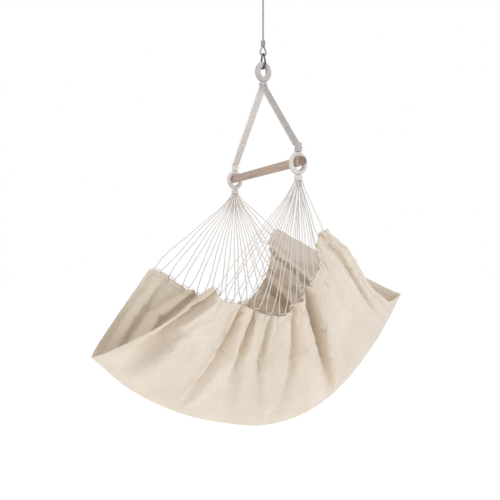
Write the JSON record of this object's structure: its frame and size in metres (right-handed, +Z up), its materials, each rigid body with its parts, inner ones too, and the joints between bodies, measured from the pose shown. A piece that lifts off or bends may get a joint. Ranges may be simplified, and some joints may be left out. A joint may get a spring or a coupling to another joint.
{
  "type": "hanging hammock chair",
  "caption": "Hanging hammock chair: a canvas seat on two fans of cords under a short round spreader bar, hung by rope, snap hook and steel cable from a ceiling plate.",
  "frame": {"origin": "centre of the ceiling plate's top face, where it meets the ceiling", "axes": "+Z up, X along the spreader bar, the sitter faces -Y"},
  "size_m": [0.666, 1.4274, 2.011],
  "materials": {
    "steel": "galvanised, dull",
    "dark_steel": "dark, slightly worn",
    "aluminium": "pressed, dull",
    "rope": "undyed cotton rope",
    "cord": "undyed cotton cord",
    "wood": "pale wood, matt varnish",
    "canvas": "undyed woven cotton",
    "hem": "doubled and stitched cotton"
  },
  "bodies": {
    "ceiling_mount": {"ceiling_plate": "steel", "plate_screw_1": "steel", "plate_screw_2": "steel", "ceiling_eye": "steel"},
    "link": {"quick_link": "steel", "quick_link_nut": "steel"},
    "hanger_cable": {"upper_loop": "steel", "upper_ferrule": "aluminium", "suspension_cable": "steel", "lower_ferrule": "aluminium", "lower_loop": "steel"},
    "hook": {"snap_hook_body": "dark_steel", "snap_hook_pin": "steel"},
    "gate": {"snap_hook_gate": "dark_steel"},
    "harness": {"top_ring": "rope", "top_seizing": "rope", "left_rope_1": "rope", "left_rope_2": "rope", "left_rope_3": "rope", "left_rope_4": "rope", "right_rope_1": "rope", "right_rope_2": "rope", "right_rope_3": "rope", "right_rope_4": "rope", "left_knot": "rope", "right_knot": "rope"},
    "seat": {"left_eye": "rope", "right_eye": "rope", "left_neck": "rope", "right_neck": "rope", "left_cord_01": "cord", "left_cord_02": "cord", "left_cord_03": "cord", "left_cord_04": "cord", "left_cord_05": "cord", "left_cord_06": "cord", "left_cord_07": "cord", "left_cord_08": "cord", "left_cord_09": "cord", "left_cord_10": "cord", "left_cord_11": "cord", "left_cord_12": "cord", "right_cord_01": "cord", "right_cord_02": "cord", "right_cord_03": "cord", "right_cord_04": "cord", "right_cord_05": "cord", "right_cord_06": "cord", "right_cord_07": "cord", "right_cord_08": "cord", "right_cord_09": "cord", "right_cord_10": "cord", "right_cord_11": "cord", "right_cord_12": "cord", "canvas": "canvas", "front_hem": "hem", "back_hem": "hem", "left_string_hem": "hem", "right_string_hem": "hem"},
    "bar": {"spreader_bar": "wood"}
  },
  "joints": [
    {"name": "fore_aft_swing", "type": "hinge", "parent": "ceiling_mount", "child": "link", "pos_m": [0, 0, -0.044], "axis": [1, 0, 0], "range_deg": [-30, 30]},
    {"name": "sideways_swing", "type": "hinge", "parent": "link", "child": "hanger_cable", "pos_m": [0, 0, -0.0977], "axis": [0, 1, 0], "range_deg": [-30, 30]},
    {"name": "hook_swing", "type": "hinge", "parent": "hanger_cable", "child": "hook", "pos_m": [0, 0, -0.4311], "axis": [0, 1, 0], "range_deg": [-30, 30]},
    {"name": "gate_pivot", "type": "hinge", "parent": "hook", "child": "gate", "pos_m": [0.01908, 0, -0.45728], "axis": [0, -1, 0], "range_deg": [0, 22], "stiffness_Nm_per_rad": 0.05, "springref_deg": -20.05},
    {"name": "harness_turn", "type": "hinge", "parent": "hook", "child": "harness", "pos_m": [0, 0, -0.4853], "axis": [0, 0, 1], "range_deg": [-20, 20]},
    {"name": "seat_tilt", "type": "hinge", "parent": "harness", "child": "seat", "pos_m": [0, 0, -0.8603], "axis": [1, 0, 0], "range_deg": [-25, 25]},
    {"name": "bar_roll", "type": "hinge", "parent": "seat", "child": "bar", "pos_m": [0, 0, -0.9161], "axis": [1, 0, 0], "continuous": true}
  ]
}
